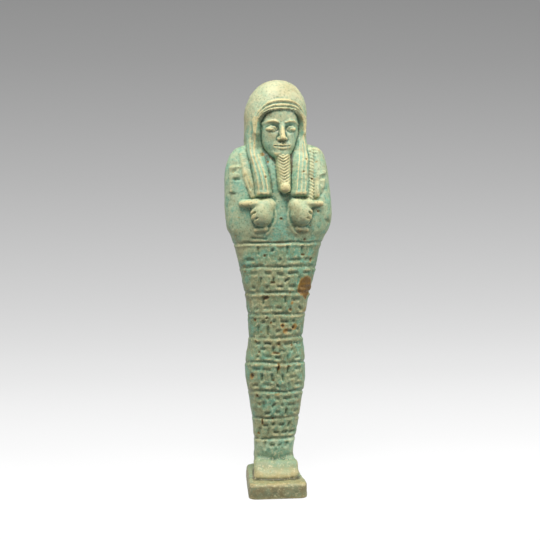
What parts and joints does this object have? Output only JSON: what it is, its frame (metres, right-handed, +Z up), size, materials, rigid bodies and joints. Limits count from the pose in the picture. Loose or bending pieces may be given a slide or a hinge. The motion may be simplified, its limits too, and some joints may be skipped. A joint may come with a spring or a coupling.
{
  "type": "ushabti figurine",
  "caption": "Mummy-shaped faience funerary figurine with striped wig, plaited beard and crossed hands, on a low block with a back pillar.",
  "frame": {"origin": "centre of the bounding box on the flat underside of the block the figure stands on", "axes": "+Z up from the underside to the crown, -Y the way the figure looks, +X towards the figure's own left"},
  "size_m": [0.047, 0.0356, 0.18],
  "materials": {
    "faience": "worn satin glaze, pale green with turquoise hollows and brown pits"
  },
  "bodies": {
    "root": {"ushabti": "faience"}
  },
  "joints": []
}
